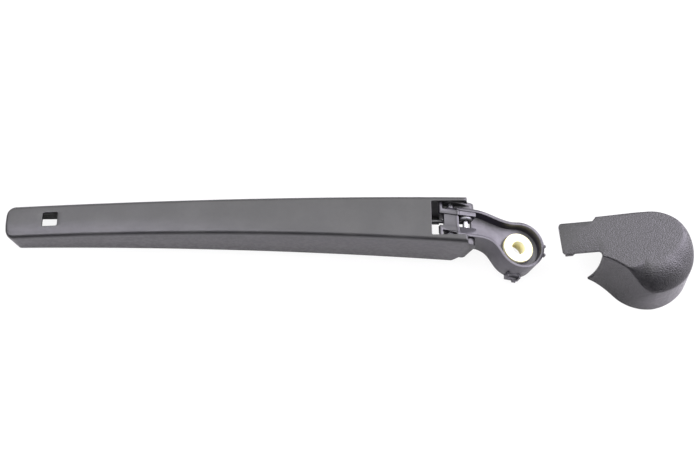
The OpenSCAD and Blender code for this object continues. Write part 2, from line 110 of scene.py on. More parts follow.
class Solid:
    """A closed mesh in millimetres that other solids are added to or cut from."""

    def __init__(self, points: Iterable[Sequence[float]], faces: Iterable[Sequence[int]]) -> None:
        """Makes the mesh and turns its faces outwards.

        Args:
            points: Corners of the mesh.
            faces: Corner numbers of each face.
        """
        mesh = bpy.data.meshes.new("solid")
        mesh.from_pydata([tuple(p) for p in points], [], [tuple(f) for f in faces])
        self.mesh = mesh
        self._edit(lambda shape: None)

    def _edit(self, change: Callable[[bmesh.types.BMesh], None]) -> None:
        """Changes the mesh, joins corners that meet and turns its faces outwards.

        Args:
            change: What is done to the mesh.
        """
        shape = bmesh.new()
        shape.from_mesh(self.mesh)
        bmesh.ops.remove_doubles(shape, verts=shape.verts, dist=JOIN_WITHIN)
        change(shape)
        bmesh.ops.recalc_face_normals(shape, faces=shape.faces)
        shape.to_mesh(self.mesh)
        shape.free()

    @classmethod
    def loft(cls, rings: Sequence[Sequence[Vector]]) -> "Solid":
        """Joins rings of equal length, with a fan of faces over each end.

        Args:
            rings: The rings in order.

        Returns:
            The solid.
        """
        count = len(rings[0])
        points = [p for ring in rings for p in ring]
        last = (len(rings) - 1) * count
        faces = []
        for low in range(0, last, count):
            for i in range(count):
                n = (i + 1) % count
                faces.append((low + i, low + n, low + count + n, low + count + i))
        faces += [tuple(range(count)), tuple(range(last, last + count))]
        return cls(points, faces)

    @classmethod
    def box(cls, low: Point, high: Point) -> "Solid":
        """Makes a box from its lowest corner to its highest."""
        plan = [(low[0], low[1]), (high[0], low[1]), (high[0], high[1]), (low[0], high[1])]
        return cls.loft([[Vector((x, y, z)) for x, y in plan] for z in (low[2], high[2])])

    @classmethod
    def plate(cls, outline: Profile, low: float, high: float) -> "Solid":
        """Raises an outline in plan to a plate between two heights."""
        return cls.loft([[Vector((x, y, z)) for x, y in outline] for z in (low, high)])

    @classmethod
    def across(cls, outline: Profile, near: float, far: float) -> "Solid":
        """Carries an outline of lengthwise places and heights across the arm."""
        return cls.loft([[Vector((x, y, z)) for x, z in outline] for y in (near, far)])

    @classmethod
    def turned(cls, profile: Sequence[Point], steps: int) -> "Solid":
        """Turns a closed profile about the upright axis.

        Args:
            profile: Radius, height and depth of teeth at each corner.
            steps: Number of steps round, four to a tooth.

        Returns:
            The solid.
        """
        points, faces, count = [], [], len(profile)
        for k in range(steps):
            angle = 2.0 * math.pi * k / steps
            crest = 1.0 if k % 4 in (1, 2) else 0.0
            for radius, height, tooth in profile:
                r = radius + tooth * crest
                points.append((r * math.cos(angle), r * math.sin(angle), height))
        for k in range(steps):
            for i in range(count):
                j, n = (i + 1) % count, (k + 1) % steps
                faces.append((k * count + i, k * count + j, n * count + j, n * count + i))
        return cls(points, faces)

    @classmethod
    def pin(cls, place: Spot, radius: float, near: float, far: float, chamfer: float = 0.0) -> "Solid":
        """Makes a round pin across the arm with a chamfer at each end.

        Args:
            place: Lengthwise place and height of its axis.
            radius: Its radius.
            near: Sideways place where it starts.
            far: Sideways place where it ends.
            chamfer: Width of the chamfers, or 0 for none.

        Returns:
            The solid.
        """
        stations = [(near, radius), (far, radius)]
        if chamfer > 0.0:
            end = radius - chamfer
            stations = [(near, end), (near + chamfer, radius), (far - chamfer, radius), (far, end)]
        steps = ROUND_STEPS if radius < WIDE_RADIUS else WIDE_ROUND_STEPS
        rings = [(y, circle_points(place, r, steps)) for y, r in stations]
        return cls.loft([[Vector((x, y, z)) for x, z in ring] for y, ring in rings])

    @classmethod
    def wire(cls, path: Sequence[Vector], radius: float, sides: int) -> "Solid":
        """Draws a round wire along a path, a little thinner at its two ends.

        Args:
            path: Middle points of the wire.
            radius: Radius of the wire.
            sides: Number of faces round it.

        Returns:
            The solid.
        """
        turns = [2.0 * math.pi * k / sides for k in range(sides)]
        last = len(path) - 1
        rings, side = [], None
        for i, point in enumerate(path):
            along = (path[min(i + 1, last)] - path[max(i - 1, 0)]).normalized()
            if side is None:
                side = along.cross(Vector((0.0, 1.0, 0.3))).normalized()
            else:
                side = (side - along * side.dot(along)).normalized()
            up = along.cross(side)
            swell = 0.8 if i in (0, last) else 1.0
            rings.append([point + swell * radius * (math.cos(t) * side + math.sin(t) * up) for t in turns])
        return cls.loft(rings)

    @classmethod
    def from_node(cls, node: str) -> "Solid":
        """Copies the mesh of a rigid node, in millimetres of the row's frame."""
        mesh = frame["nodes"][node].data
        return cls([v.co / MM for v in mesh.vertices], [p.vertices for p in mesh.polygons])

    def act(self, how: Cut, *others: "Solid") -> "Solid":
        """Adds other solids to this one or takes them away.

        Args:
            how: Whether they are added or removed.
            *others: The other solids.

        Returns:
            This solid.
        """
        for other in others:
            work = bpy.data.objects.new("work", self.mesh)
            tool = bpy.data.objects.new("tool", other.mesh)
            for thing in (work, tool):
                bpy.context.collection.objects.link(thing)
            step = work.modifiers.new("act", "BOOLEAN")
            step.operation, step.object, step.solver = how.value, tool, "EXACT"
            self._take(work)
            bpy.data.objects.remove(tool)
        return self

    def _take(self, work: bpy.types.Object) -> None:
        """Takes over the mesh of a work object with its modifiers applied.

        Args:
            work: The work object, which is removed.
        """
        bpy.context.view_layer.update()
        shaped = work.evaluated_get(bpy.context.evaluated_depsgraph_get())
        self.mesh = bpy.data.meshes.new_from_object(shaped)
        bpy.data.objects.remove(work)

    def settle(self, name: str, place: Matrix, rounding: float = 0.0) -> bpy.types.Object:
        """Rounds the sharp edges, smooths the shading and lays the piece in its place.

        Args:
            name: Name of the piece.
            place: Matrix from the piece's millimetres to the row's frame.
            rounding: Width of the rounding along sharp edges, or 0 for none.

        Returns:
            The finished object.
        """
        self._edit(lambda shape: bmesh.ops.dissolve_limit(
            shape, angle_limit=FLAT_ANGLE, verts=shape.verts, edges=shape.edges))
        if rounding > 0.0:
            work = bpy.data.objects.new("work", self.mesh)
            bpy.context.collection.objects.link(work)
            step = work.modifiers.new("rounding", "BEVEL")
            step.width, step.segments, step.limit_method = rounding, 2, "ANGLE"
            step.angle_limit, step.use_clamp_overlap = ROUNDED_ANGLE, False
            self._take(work)
        self.mesh.transform(place)
        self.mesh.name = name
        self.mesh.polygons.foreach_set("use_smooth", [True] * len(self.mesh.polygons))
        self.mesh.set_sharp_from_angle(angle=SHARP_ANGLE)
        piece = bpy.data.objects.new(name, self.mesh)
        bpy.context.collection.objects.link(piece)
        return piece


def circle_points(centre: Spot, radius: float, steps: int) -> list[Spot]:
    """Spaces a number of points evenly round a circle."""
    turns = [2.0 * math.pi * k / steps for k in range(steps)]
    return [(centre[0] + radius * math.cos(t), centre[1] + radius * math.sin(t)) for t in turns]


def rounded_outline(low: Spot, high: Spot, radius: float) -> list[Spot]:
    """Draws a rectangle with round corners.

    Args:
        low: Its lowest corner.
        high: Its highest corner.
        radius: Radius of its corners.

    Returns:
        Its outline.
    """
    corners = [(high[0] - radius, high[1] - radius, 0), (low[0] + radius, high[1] - radius, 1),
               (low[0] + radius, low[1] + radius, 2), (high[0] - radius, low[1] + radius, 3)]
    steps = 6
    return [
        (x + radius * math.cos(math.pi / 2 * (quarter + k / steps)),
         y + radius * math.sin(math.pi / 2 * (quarter + k / steps)))
        for x, y, quarter in corners for k in range(steps + 1)
    ]


def wrapped(circles: Iterable[Point]) -> list[Spot]:
    """Wraps circles in one band, as a string pulled round them would.

    Args:
        circles: Lengthwise place, height and radius of each circle.

    Returns:
        The outline of the band.
    """
    cloud = sorted({p for x, z, r in circles for p in circle_points((x, z), r, 48)})
    halves = []
    for points in (cloud, cloud[::-1]):
        chain: list[Spot] = []
        for p in points:
            while len(chain) > 1:
                a, b = chain[-2], chain[-1]
                if (b[0] - a[0]) * (p[1] - a[1]) - (b[1] - a[1]) * (p[0] - a[0]) > 0.0:
                    break
                chain.pop()
            chain.append(p)
        halves += chain[:-1]
    return halves


def held(t: float, most: float = 1.0) -> float:
    """Holds a number between 0 and the most that it may be."""
    return min(most, max(0.0, t))


def smooth(t: float) -> float:
    """Eases a number from 0 to 1 and holds it there."""
    share = held(t)
    return share * share * (3.0 - 2.0 * share)


def steps_between(first: float, last: float, count: int) -> list[float]:
    """Spaces a count of numbers evenly from the first to the last."""
    return [first + (last - first) * k / (count - 1) for k in range(count)]


def bezier(guides: Profile, t: float) -> Spot:
    """Finds the point at share t of a curve given by its start, two guides and its end."""
    weights = ((1 - t) ** 3, 3 * t * (1 - t) ** 2, 3 * t * t * (1 - t), t ** 3)
    return tuple(sum(w * g[axis] for w, g in zip(weights, guides)) for axis in (0, 1))


# Shader graphs


class Graph:
    """A node tree with short calls to place, set and join its nodes."""

    def __init__(self, tree: bpy.types.NodeTree) -> None:
        """Wraps the node tree of a material, a world or a group."""
        self.tree = tree

    @classmethod
    def cleared(cls, block: bpy.types.Material | bpy.types.World) -> "Graph":
        """Turns the nodes of a material or a world on and clears them.

        Args:
            block: The material or the world.

        Returns:
            Its empty graph.
        """
        block.use_nodes = True
        block.node_tree.nodes.clear()
        return cls(block.node_tree)

    def add(
        self, kind: str, inputs: dict[str | int, object] | None = None, **settings: object
    ) -> bpy.types.Node:
        """Places a node.

        Args:
            kind: Blender's type name of the node.
            inputs: Socket names or places with a value, or with an output to link from.
            **settings: Properties of the node itself.

        Returns:
            The new node.
        """
        node = self.tree.nodes.new(kind)
        for key, value in settings.items():
            setattr(node, key, value)
        for key, value in (inputs or {}).items():
            if isinstance(value, bpy.types.NodeSocket):
                self.tree.links.new(value, node.inputs[key])
            else:
                node.inputs[key].default_value = value
        return node

    def math(self, operation: str, *values: object, clamp: bool = False) -> bpy.types.NodeSocket:
        """Places a Math node with numbers or outputs in its sockets and gives its result."""
        node = self.add("ShaderNodeMath", dict(enumerate(values)), operation=operation, use_clamp=clamp)
        return node.outputs[0]

    def ramp(self, value: object, span: Spot, to: Spot = (0.0, 1.0)) -> bpy.types.NodeSocket:
        """Maps a value smoothly from one span to another and holds it there."""
        names = {"Value": value, "From Min": span[0], "From Max": span[1], "To Min": to[0], "To Max": to[1]}
        return self.add("ShaderNodeMapRange", names, interpolation_type="SMOOTHSTEP").outputs[0]

    def noise(self, place: object, scale: object, detail: float) -> bpy.types.Node:
        """Places a Noise Texture node."""
        return self.add("ShaderNodeTexNoise", {"Vector": place, "Scale": scale, "Detail": detail})

    def group(
        self, tree: bpy.types.NodeTree, inputs: dict[str | int, object] | None = None
    ) -> bpy.types.NodeOutputs:
        """Places a shared group and gives its outputs."""
        return self.add("ShaderNodeGroup", inputs, node_tree=tree).outputs

    def bump(self, height: bpy.types.NodeSocket, distance: float) -> bpy.types.NodeSocket:
        """Places a Bump node at full strength and gives its normal."""
        inputs = {"Height": height, "Distance": distance, "Strength": 1.0}
        return self.add("ShaderNodeBump", inputs).outputs[0]

    def blend(self, share: object, first: object, second: object) -> bpy.types.NodeSocket:
        """Mixes two colours.

        Args:
            share: Share of the second colour.
            first: Colour or output at share 0.
            second: Colour or output at share 1.

        Returns:
            The mixed colour.
        """
        inputs: dict[str | int, object] = {0: share}
        for key, colour in ((6, first), (7, second)):
            inputs[key] = colour if isinstance(colour, bpy.types.NodeSocket) else (*colour, 1.0)
        return self.add("ShaderNodeMix", inputs, data_type="RGBA").outputs[2]


class Effect(Graph):
    """The graph of a shader node group that gives masks, heights or shades."""

    def __init__(self, name: str, inputs: dict[str, float], outputs: Sequence[str]) -> None:
        """Starts the group with named number sockets.

        Args:
            name: Name of the group.
            inputs: Names of the inputs with their values.
            outputs: Names of the outputs.
        """
        super().__init__(bpy.data.node_groups.new(name, "ShaderNodeTree"))
        sockets = self.tree.interface
        for key, value in inputs.items():
            socket = sockets.new_socket(key, in_out="INPUT", socket_type="NodeSocketFloat")
            socket.default_value = value
        for key in outputs:
            sockets.new_socket(key, in_out="OUTPUT", socket_type="NodeSocketFloat")
        self.given = self.add("NodeGroupInput").outputs
        self.sink = self.add("NodeGroupOutput")
        self.place = self.add("ShaderNodeTexCoord").outputs["Object"]

    def gives(self, key: str, value: bpy.types.NodeSocket) -> None:
        """Links a result to the group's output of that name."""
        self.tree.links.new(value, self.sink.inputs[key])


class Effects:
    """Surface effects that several finishes share, each one node group.

    Scales are in patches per metre, and a span is what becomes 0 to 1.
    """

    WOBBLE = 0.0006
    PITS_PER_PEBBLE = 2.7
    # Span of cell distance that becomes the mask of pits where shade is painted
    PIT_SHADE_SPAN = (0.45, 0.8)
    WORN_SPAN = (0.02, 0.22)
    WORN_SCALE = 260.0
    PATCH_SPAN = (0.35, 0.68)
    UP_SPAN = (0.1, 0.9)
    SPECK_SCALE = 420.0
    SPECK_SPAN = (0.16, 0.05)
    SPARSE_SCALE = 90.0
    SPARSE_SPAN = (0.58, 0.72)
    FILM_SCALE = 35.0
    FILM_SPAN = (0.4, 0.75)
    FINE_PER_PATCH = 14.0
    SHADE_SPAN = (0.3, 0.7)

    def __init__(self) -> None:
        """Builds the groups once."""
        self.grain = self._grain()
        self.edge_wear = self._edge_wear()
        self.dust = self._dust()
        self.mottle = self._mottle()

    def _grain(self) -> bpy.types.NodeTree:
        """Builds the moulded grain: soft pebbles of one size with finer pits between them, and a mask of the
        pits where the finishes paint shade.

        Returns:
            The group.
        """
        inputs = {"Pebbles per metre": 900.0, "Fine share": 0.35}
        graph = Effect("moulded_grain", inputs, ("Height", "Painted pit shade"))
        scale = graph.given["Pebbles per metre"]
        wobble = graph.noise(graph.place, scale, 1.0).outputs["Color"]
        shift = graph.add("ShaderNodeVectorMath", {0: wobble, "Scale": self.WOBBLE}, operation="SCALE")
        moved = graph.add("ShaderNodeVectorMath", {0: graph.place, 1: shift.outputs[0]}, operation="ADD")
        cells = graph.add(
            "ShaderNodeTexVoronoi",
            {"Vector": moved.outputs[0], "Scale": scale, "Smoothness": 0.6},
            feature="SMOOTH_F1",
        ).outputs["Distance"]
        fine = graph.noise(graph.place, graph.math("MULTIPLY", scale, self.PITS_PER_PEBBLE), 3.0).outputs[0]
        part = graph.math("MULTIPLY", fine, graph.given["Fine share"])
        graph.gives("Height", graph.math("ADD", graph.math("SUBTRACT", 1.0, cells), part))
        # Mask of the pits between the pebbles, used to paint shade into them
        graph.gives("Painted pit shade", graph.ramp(cells, self.PIT_SHADE_SPAN))
        return graph.tree

    def _edge_wear(self) -> bpy.types.NodeTree:
        """Builds the mask of edges that rub, from how much a rounded normal leaves the real one.

        Returns:
            The group.
        """
        graph = Effect("edge_wear", {"Width": 0.0006, "Patchiness": 0.5}, ("Mask",))
        rounded = graph.add("ShaderNodeBevel", {"Radius": graph.given["Width"]}, samples=6).outputs[0]
        real = graph.add("ShaderNodeNewGeometry").outputs["Normal"]
        same = graph.add("ShaderNodeVectorMath", {0: rounded, 1: real}, operation="DOT_PRODUCT")
        edge = graph.ramp(graph.math("SUBTRACT", 1.0, same.outputs["Value"]), self.WORN_SPAN)
        patches = graph.ramp(graph.noise(graph.place, self.WORN_SCALE, 4.0).outputs[0], self.PATCH_SPAN)
        patchiness = graph.given["Patchiness"]
        even = graph.math("SUBTRACT", 1.0, patchiness)
        kept = graph.math("ADD", even, graph.math("MULTIPLY", patches, patchiness))
        graph.gives("Mask", graph.math("MULTIPLY", edge, kept, clamp=True))
        return graph.tree

    def _dust(self) -> bpy.types.NodeTree:
        """Builds the mask of fine dust: small specks and a thin film on faces that look up.

        Returns:
            The group.
        """
        graph = Effect("settled_dust", {"Specks": 0.4, "Film": 0.3}, ("Mask",))
        normal = graph.add("ShaderNodeNewGeometry").outputs["Normal"]
        facing = graph.ramp(graph.add("ShaderNodeSeparateXYZ", {0: normal}).outputs["Z"], self.UP_SPAN)
        dots = graph.add("ShaderNodeTexVoronoi", {"Vector": graph.place, "Scale": self.SPECK_SCALE})
        sparse = graph.ramp(graph.noise(graph.place, self.SPARSE_SCALE, 2.0).outputs[0], self.SPARSE_SPAN)
        specks = graph.math("MULTIPLY", graph.ramp(dots.outputs["Distance"], self.SPECK_SPAN), sparse)
        film = graph.ramp(graph.noise(graph.place, self.FILM_SCALE, 6.0).outputs[0], self.FILM_SPAN)
        thin = graph.math("MULTIPLY", film, graph.given["Film"])
        both = graph.math("MAXIMUM", graph.math("MULTIPLY", specks, graph.given["Specks"]), thin)
        graph.gives("Mask", graph.math("MULTIPLY", both, facing, clamp=True))
        return graph.tree

    def _mottle(self) -> bpy.types.NodeTree:
        """Builds the slow change of shade that a moulding or a plating bath leaves.

        Returns:
            The group.
        """
        graph = Effect("mottle", {"Patches per metre": 30.0}, ("Shade", "Fine"))
        scale = graph.given["Patches per metre"]
        slow = graph.noise(graph.place, scale, 3.0).outputs[0]
        fine = graph.noise(graph.place, graph.math("MULTIPLY", scale, self.FINE_PER_PATCH), 5.0).outputs[0]
        graph.gives("Shade", graph.ramp(slow, self.SHADE_SPAN))
        graph.gives("Fine", graph.ramp(fine, self.SHADE_SPAN))
        return graph.tree


# Finishes


@dataclass(frozen=True)
class Finish:
    """What every finish has: its slot, two colours that it drifts between and its roughness."""

    slot: str
    colour: Colour
    shade: Colour
    roughness: float

    def material(self, effects: Effects) -> bpy.types.Material:
        """Makes the material.

        Args:
            effects: Shared node groups.

        Returns:
            The finished material.
        """
        material = bpy.data.materials.new(self.slot)
        graph = Graph.cleared(material)
        surface = graph.add("ShaderNodeBsdfPrincipled", self._inputs(graph, effects))
        graph.add("ShaderNodeOutputMaterial", {"Surface": surface.outputs[0]})
        return material

    def _inputs(self, graph: Graph, effects: Effects) -> dict[str | int, object]:
        """Builds what feeds the surface, which each kind of finish does in its own way."""
        raise NotImplementedError(self.slot)

    def _lifted(self, gain: float, lift: float) -> Colour:
        """Gives a brighter colour for edges that rub."""
        return tuple(min(1.0, gain * c + lift) for c in self.colour)


@dataclass(frozen=True)
class MouldedPlastic(Finish):
    """Satin moulded plastic with grain, painted shade in the grain's pits, worn edges and a little dust."""

    pebbles: float
    grain_height: float
    specular: float = 0.5
    wear: float = 0.35
    dust: float = 0.06
    # Painted shade in the grain's pits: how dark they are painted as a share of the colour, and how much of
    # it is laid on
    painted_pit_shade: float = 0.8
    pit_shade_share: float = 0.6
    worn_gain: float = 1.7
    worn_lift: float = 0.02
    dust_colour: Colour = (0.5, 0.49, 0.47)
    dust_roughness: float = 0.1
    smoothest: float = -0.03
    roughest: float = 0.04

    def _inputs(self, graph: Graph, effects: Effects) -> dict[str | int, object]:
        """Builds the grain, the tone with painted shade in the grain's pits, its wear and dust, and the
        roughness.

        Args:
            graph: Graph of the material.
            effects: Shared node groups.

        Returns:
            What feeds the surface.
        """
        grain = graph.group(effects.grain, {"Pebbles per metre": self.pebbles})
        mottle = graph.group(effects.mottle)
        worn = graph.math("MULTIPLY", graph.group(effects.edge_wear)["Mask"], self.wear)
        dust = graph.group(effects.dust)["Mask"]
        # Painted shade: the grain's pits are darkened towards this darker copy of the colour
        hollow = tuple(self.painted_pit_shade * c for c in self.colour)
        tone = graph.blend(mottle["Shade"], self.colour, self.shade)
        tone = graph.blend(graph.math("MULTIPLY", grain["Painted pit shade"], self.pit_shade_share), tone, hollow)
        tone = graph.blend(worn, tone, self._lifted(self.worn_gain, self.worn_lift))
        tone = graph.blend(graph.math("MULTIPLY", dust, self.dust), tone, self.dust_colour)
        span = (self.roughness + self.smoothest, self.roughness + self.roughest)
        spread = graph.ramp(mottle["Fine"], (0.0, 1.0), span)
        rough = graph.math("ADD", spread, graph.math("MULTIPLY", dust, self.dust_roughness))
        bump = graph.bump(grain["Height"], self.grain_height)
        return {"Base Color": tone, "Roughness": rough, "Normal": bump,
                "Specular IOR Level": self.specular, "IOR": 1.5}


@dataclass(frozen=True)
class WorkedMetal(Finish):
    """Metal that is turned, drawn or plated, with fine tool lines along one axis."""

    lines: Point
    line_height: float
    metallic: float = 1.0
    wear: float = 0.3
    patches: float = 110.0
    worn_gain: float = 1.15
    worn_lift: float = 0.05
    line_span: Spot = (0.3, 0.7)
    smoothest: float = -0.06
    roughest: float = 0.08

    def _inputs(self, graph: Graph, effects: Effects) -> dict[str | int, object]:
        """Builds the tool lines, the tone with its worn edges, and the roughness.

        Args:
            graph: Graph of the material.
            effects: Shared node groups.

        Returns:
            What feeds the surface.
        """
        mottle = graph.group(effects.mottle, {"Patches per metre": self.patches})
        worn = graph.math("MULTIPLY", graph.group(effects.edge_wear)["Mask"], self.wear)
        place = graph.add("ShaderNodeTexCoord").outputs["Object"]
        stretched = graph.add("ShaderNodeMapping", {"Vector": place, "Scale": self.lines}).outputs[0]
        drawn = graph.noise(stretched, 1.0, 4.0).outputs[0]
        tone = graph.blend(mottle["Shade"], self.colour, self.shade)
        tone = graph.blend(worn, tone, self._lifted(self.worn_gain, self.worn_lift))
        span = (self.roughness + self.smoothest, self.roughness + self.roughest)
        rough = graph.ramp(drawn, self.line_span, span)
        bump = graph.bump(drawn, self.line_height)
        return {"Base Color": tone, "Roughness": rough, "Normal": bump, "Metallic": self.metallic}


ARM_PLASTIC = MouldedPlastic(
    "arm_plastic", (0.007, 0.007, 0.0072), (0.01, 0.01, 0.011), 0.42,
    pebbles=2600.0, grain_height=0.00001, specular=0.52,
)
HEAD_PLASTIC = MouldedPlastic(
    "head_plastic", (0.009, 0.0082, 0.012), (0.013, 0.0118, 0.017), 0.36,
    pebbles=2300.0, grain_height=0.00001, specular=0.56,
)
CAP_PLASTIC = MouldedPlastic(
    "cap_plastic", (0.005, 0.0048, 0.0056), (0.008, 0.0076, 0.009), 0.34,
    pebbles=1350.0, grain_height=0.00017, specular=0.44, wear=0.3, dust=0.02,
)
PLATED_ZINC = WorkedMetal(
    "plated_zinc", (0.72, 0.71, 0.52), (0.74, 0.68, 0.34), 0.33,
    lines=(300.0, 300.0, 2500.0), line_height=0.00001, metallic=0.12,
)
PIN_STEEL = WorkedMetal(
    "pin_steel", (0.3, 0.3, 0.31), (0.22, 0.22, 0.23), 0.35,
    lines=(1500.0, 150.0, 1500.0), line_height=0.00001,
)
SPRING_STEEL = WorkedMetal(
    "spring_steel", (0.16, 0.16, 0.17), (0.1, 0.1, 0.105), 0.42,
    lines=(500.0, 500.0, 500.0), line_height=0.00001, metallic=0.9,
)


class Bench:
    """Where finished pieces get their material."""

    def __init__(self, effects: Effects) -> None:
        """Makes every material once."""
        finishes = (ARM_PLASTIC, HEAD_PLASTIC, CAP_PLASTIC, PLATED_ZINC, PIN_STEEL, SPRING_STEEL)
        self.materials = {f.slot: f.material(effects) for f in finishes}

    def dress(self, piece: bpy.types.Object, finish: Finish, node: str) -> None:
        """Gives a piece its finish and hides the node that it stands for.

        Args:
            piece: The piece.
            finish: Its finish.
            node: Name of the node that it stands for.
        """
        piece.data.materials.clear()
        piece.data.materials.append(self.materials[finish.slot])
        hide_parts(node)
        log.info("%s made with %d faces", piece.name, len(piece.data.polygons))


# Pieces

# How far before the tip the arm's cross sections lie where its end is round
TIP_STEPS = (20.0, 16.0, 12.5, 10.0, 8.0, 6.5, 5.2, 4.0, 3.0, 2.2, 1.5, 0.9, 0.45, 0.15, 0.0)


@dataclass
class ArmShell:
    """The long hollow arm with its tip slot, ribs, cutout, ears and spring lug."""

    # Plan, depth and cross section
    rounding: float = 0.25
    reach: float = 285.0
    tip_end: float = 283.5
    tip_width: float = 22.2
    pivot_width: float = 30.78
    tip_height: float = 16.5
    pivot_height: float = 31.3
    height_power: float = 1.7
    wall: float = 2.0
    tip_offset: float = 6.7
    bow: float = 1.9
    crease: float = 2.8
    crown_at_tip: float = 0.9
    crown_at_pivot: float = 0.2
    far_crown: float = 0.12
    slant: float = 4.0
    slant_length: float = 25.0
    corner: float = 5.5
    tip_edge: float = 1.5
    foot_lift: float = 0.05
    tip_foot_lift: float = 0.04
    top: float = 8.5
    top_steps: int = 7
    past_pivot: float = 12.0
    round_end: float = 26.0
    straight_steps: int = 40
    # The blade's slot and its guide
    slot_length: float = 9.8
    slot_width: float = 9.4
    slot_from_tip: float = 25.6
    slot_shift: float = 0.7
    slot_depth: float = 8.5
    slot_room: float = 0.15
    slot_corner: float = 1.0
    skin_overlap: float = 1.2
    # Ribs and ledges inside, each with its thickness or height
    rib: float = 1.6
    rib_depth: float = 4.0
    rib_count: int = 5
    rib_margin: float = 18.0
    ledge_places: tuple[float, ...] = (6.0, 22.0, 41.0)
    ledge_far: float = 3.8
    ledge_near: float = 1.6
    ledge_height: float = 3.4
    # The lug for the spring's eye
    lug_place: float = 74.0
    lug_width: float = 3.0
    lug_radius: float = 5.0
    lug_half: float = 4.8
    lug_hole: float = 2.2
    spring_shift: float = 2.9
    spring_height: float = -5.743
    # Cutout, ears and curved wall ends about the pivot
    cut_back: float = 12.3
    cut_near: float = 11.0
    cut_far: float = 12.0
    cut_corner: float = 0.9
    ear_start: float = 9.9
    ear_radius: float = 6.0
    ear_past: float = 15.0
    ear_nose: float = 4.5
    ear_nose_height: float = -4.25
    ear_toe: float = 2.0
    ear_foot_share: float = 0.63
    wall_end_radius: float = 34.0
    wall_end_height: float = 1.0
    wall_end_corner: float = 1.8
    wall_past: float = 10.5
    pin_hole: float = 2.05

    @property
    def bottom(self) -> float:
        """Height of the walls' lower edge."""
        return self.top - self.pivot_height

    def middle(self, s: float) -> float:
        """Sideways place of the arm's middle line at a distance s from the pivot."""
        u = s / self.reach
        return self.tip_offset * u + 4.0 * self.bow * u * (1.0 - u)

    def width(self, s: float) -> float:
        """Width of the arm at a distance s from the pivot."""
        u = s / self.reach
        return self.tip_width + (self.pivot_width - self.tip_width) * (1.0 - u) ** 2

    def height(self, s: float) -> float:
        """Height of the arm at a distance s from the pivot."""
        u = max(s, 0.0) / self.reach
        return self.pivot_height - (self.pivot_height - self.tip_height) * u ** self.height_power

    @staticmethod
    def _drawn_in(past: float, radius: float) -> float:
        """How far a round end has drawn in at a distance past its tip, negative before it."""
        into = held(past + radius, radius)
        return radius - math.sqrt(radius ** 2 - into ** 2)

    def _ring(self, s: float, inset: float, low: float) -> list[Vector]:
        """Draws one cross section, an upside-down U with round shoulders.

        Args:
            s: Distance from the pivot.
            inset: Thickness taken off the walls, the top and the tip.
            low: Height of the open edge.

        Returns:
            The section's points.
        """
        past = s - self.tip_end + inset
        half = self.width(s) / 2 - inset - self._drawn_in(past, self.corner - inset)
        top = self.bottom + self.height(s) - inset - self._drawn_in(past, self.tip_edge)
        r = self.crease - inset
        crown = self.crown_at_pivot + (self.crown_at_tip - self.crown_at_pivot) * smooth(s / self.reach)
        near_tip = held((s - self.tip_end + self.slant_length) / self.slant_length)
        lean = self.slant * near_tip ** 2 / self.height(s)
        low += self.foot_lift + self.tip_foot_lift * near_tip
        flat, steps = half - r, self.top_steps
        arc = [math.radians(a) for a in range(0, 91, 10)]
        left = [(-flat - r * math.cos(a), top - r + r * math.sin(a)) for a in arc]
        level = [(flat * k / steps, top) for k in range(1 - steps, steps)]
        right = [(-y, z) for y, z in reversed(left)]
        points = []
        for y, z in [(-half, low)] + left + level + right + [(half, low)]:
            drop = 0.0
            if z > low + 1.0:
                drop = (1.0 if y < 0.0 else self.far_crown) * crown * min(1.0, abs(y) / flat) ** 2
            points.append(Vector((-s + lean * (top - z), self.middle(s) + y, z - drop)))
        return points

    def _hull(self, inset: float, low: float, first: float) -> Solid:
        """Lofts the outside or the inside of the arm.

        Args:
            inset: Thickness taken off the walls, the top and the tip.
            low: Height of the open edge.
            first: Distance from the pivot where the loft starts.

        Returns:
            The solid.
        """
        straight = steps_between(0.0, self.reach - self.round_end, self.straight_steps + 1)
        rounded = [self.tip_end - inset - d for d in TIP_STEPS]
        return Solid.loft([self._ring(s, inset, low) for s in [first] + straight + rounded])

    def _past_walls(self) -> Solid:
        """Fills everything past the curved ends of the side walls.

        Returns:
            The solid to be cut away.
        """
        corner, radius = self.wall_end_corner, self.wall_end_radius
        low, high, past = self.bottom - 2.0, self.top + 3.0, 40.0
        heights = steps_between(low, self.top - corner, 28)
        heights += steps_between(self.top - corner + 0.3, self.top, 6) + [high]
        outline = []
        for z in heights:
            above = held(z - self.top + corner, corner)
            drawn_in = corner - math.sqrt(corner ** 2 - above ** 2)
            reach = math.sqrt(radius ** 2 - (z - self.wall_end_height) ** 2)
            outline.append((self.wall_past - radius + reach - drawn_in, z))
        outline += [(past, high), (past, low)]
        return Solid.across(outline, -self.pivot_width, self.pivot_width)

    def _ears(self) -> list[Solid]:
        """Makes the two inner ears that hold the pivot pin.

        Returns:
            The far ear and the near one.
        """
        toe, nose = self.ear_toe, self.ear_nose
        outline = wrapped([
            (0.0, 0.0, self.ear_radius),
            (self.ear_past - nose, self.ear_nose_height, nose),
            (self.ear_foot_share * self.ear_past - toe, self.bottom + 2.0 * toe, toe),
            (toe, self.bottom + 3.0 * toe, toe),
        ])
        outer = self.pivot_width / 2 - self.wall / 2
        return [Solid.across(outline, self.ear_start, outer), Solid.across(outline, -outer, -self.ear_start)]

    def _slot_place(self) -> tuple[float, float, float]:
        """Lengthwise and sideways place of the slot's middle, and the skin's height there."""
        s = self.reach - self.slot_from_tip - self.slot_length / 2
        return -s, self.middle(s) + self.slot_shift, self.bottom + self.height(s)

